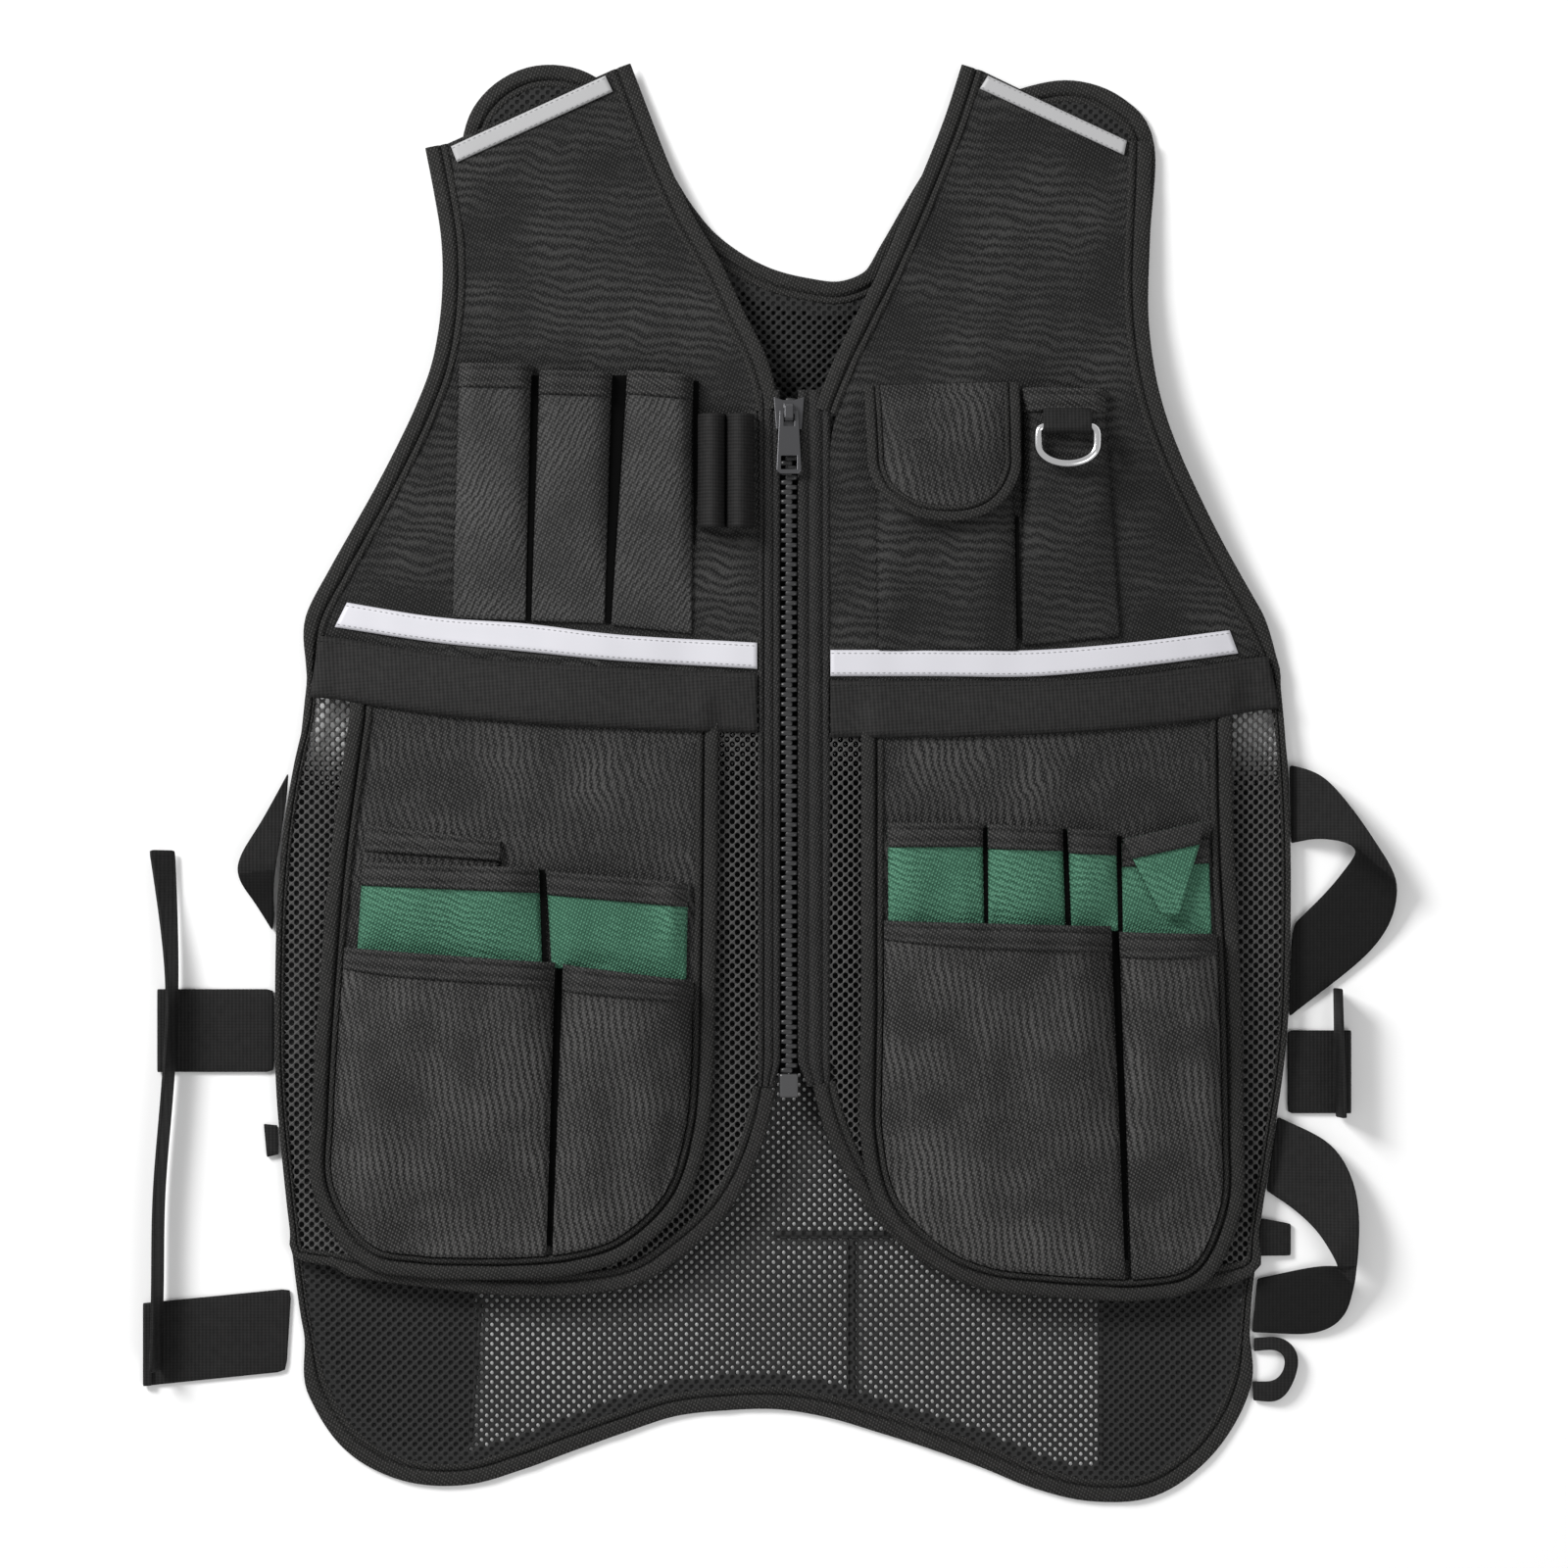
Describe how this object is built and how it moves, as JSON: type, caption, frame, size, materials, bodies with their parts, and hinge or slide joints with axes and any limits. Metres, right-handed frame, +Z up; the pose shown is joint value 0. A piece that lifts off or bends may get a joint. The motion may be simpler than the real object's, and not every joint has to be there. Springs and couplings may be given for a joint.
{
  "type": "utility work vest",
  "caption": "Sleeveless work vest lying flat on its back, with a net body, zip front, chest and waist tool pockets, green inner pockets, light reflector strips, side straps and a ring.",
  "frame": {"origin": "on the flat underside of the back panel, on the zip's line at the middle of the vest's length", "axes": "+Z up off the floor that the vest lies on, +Y towards the shoulders, +X to the right seen from above"},
  "size_m": [0.5753, 0.6598, 0.037],
  "materials": {
    "net": "black polyester net with small diamond holes",
    "twill": "charcoal black heavy twill, matt",
    "binding": "charcoal folded binding tape",
    "webbing": "black ribbed webbing",
    "green_cloth": "matt sea-green woven cloth",
    "reflective": "pale grey retro-reflective tape",
    "zip_plastic": "black moulded plastic",
    "gunmetal": "dark grey satin metal",
    "bright_metal": "bright polished metal wire"
  },
  "bodies": {
    "vest": {"back_panel": "net", "front_net_left": "net", "front_net_right": "net", "front_yoke_left": "twill", "front_yoke_right": "twill", "pocket_panel_left": "twill", "pocket_panel_right": "twill", "zip_tape_left": "twill", "zip_tape_right": "twill", "pen_pocket_1": "twill", "pen_pocket_2": "twill", "pen_pocket_3": "twill", "phone_pocket": "twill", "pencil_pocket": "twill", "spare_pocket_left": "twill", "cargo_pocket_left_1": "twill", "cargo_pocket_left_2": "twill", "cargo_pocket_right_1": "twill", "cargo_pocket_right_2": "twill", "phone_pocket_flap": "twill", "back_binding": "binding", "flap_binding": "binding", "front_binding_left": "binding", "front_binding_right": "binding", "neck_binding_left": "binding", "neck_binding_right": "binding", "pocket_panel_binding_left": "binding", "pocket_panel_binding_right": "binding", "green_pocket_left_1": "green_cloth", "green_pocket_left_2": "green_cloth", "green_pocket_right_1": "green_cloth", "green_pocket_right_2": "green_cloth", "green_pocket_right_3": "green_cloth", "green_pocket_right_4": "green_cloth", "folded_green_corner": "green_cloth", "shoulder_reflector_left": "reflective", "shoulder_reflector_right": "reflective", "chest_reflector_left": "reflective", "chest_reflector_right": "reflective", "waist_webbing_left": "webbing", "waist_webbing_right": "webbing", "elastic_loops": "webbing", "d_ring_tab": "webbing", "strap_upper_left": "webbing", "strap_end_left": "webbing", "strap_upper_right": "webbing", "strap_lower_right": "webbing", "strap_curl_right": "webbing", "side_tape_left": "webbing", "side_tape_right": "webbing", "side_tape_right_lower": "webbing", "strap_middle_left": "webbing", "strap_lower_left": "webbing", "strap_middle_right": "webbing", "zip_teeth_left": "zip_plastic", "zip_teeth_right": "zip_plastic", "zip_box": "zip_plastic", "zip_slider": "gunmetal"},
    "zip_pull": {"zip_pull": "gunmetal"},
    "d_ring": {"d_ring": "bright_metal"}
  },
  "joints": [
    {"name": "zip_pull_hinge", "type": "hinge", "parent": "vest", "child": "zip_pull", "pos_m": [0, 0.16671, 0.02118], "axis": [-1, 0, 0], "range_deg": [0, 150]},
    {"name": "d_ring_hinge", "type": "hinge", "parent": "vest", "child": "d_ring", "pos_m": [0.12671, 0.15989, 0.02807], "axis": [-1, 0, 0], "range_deg": [0, 120]}
  ]
}
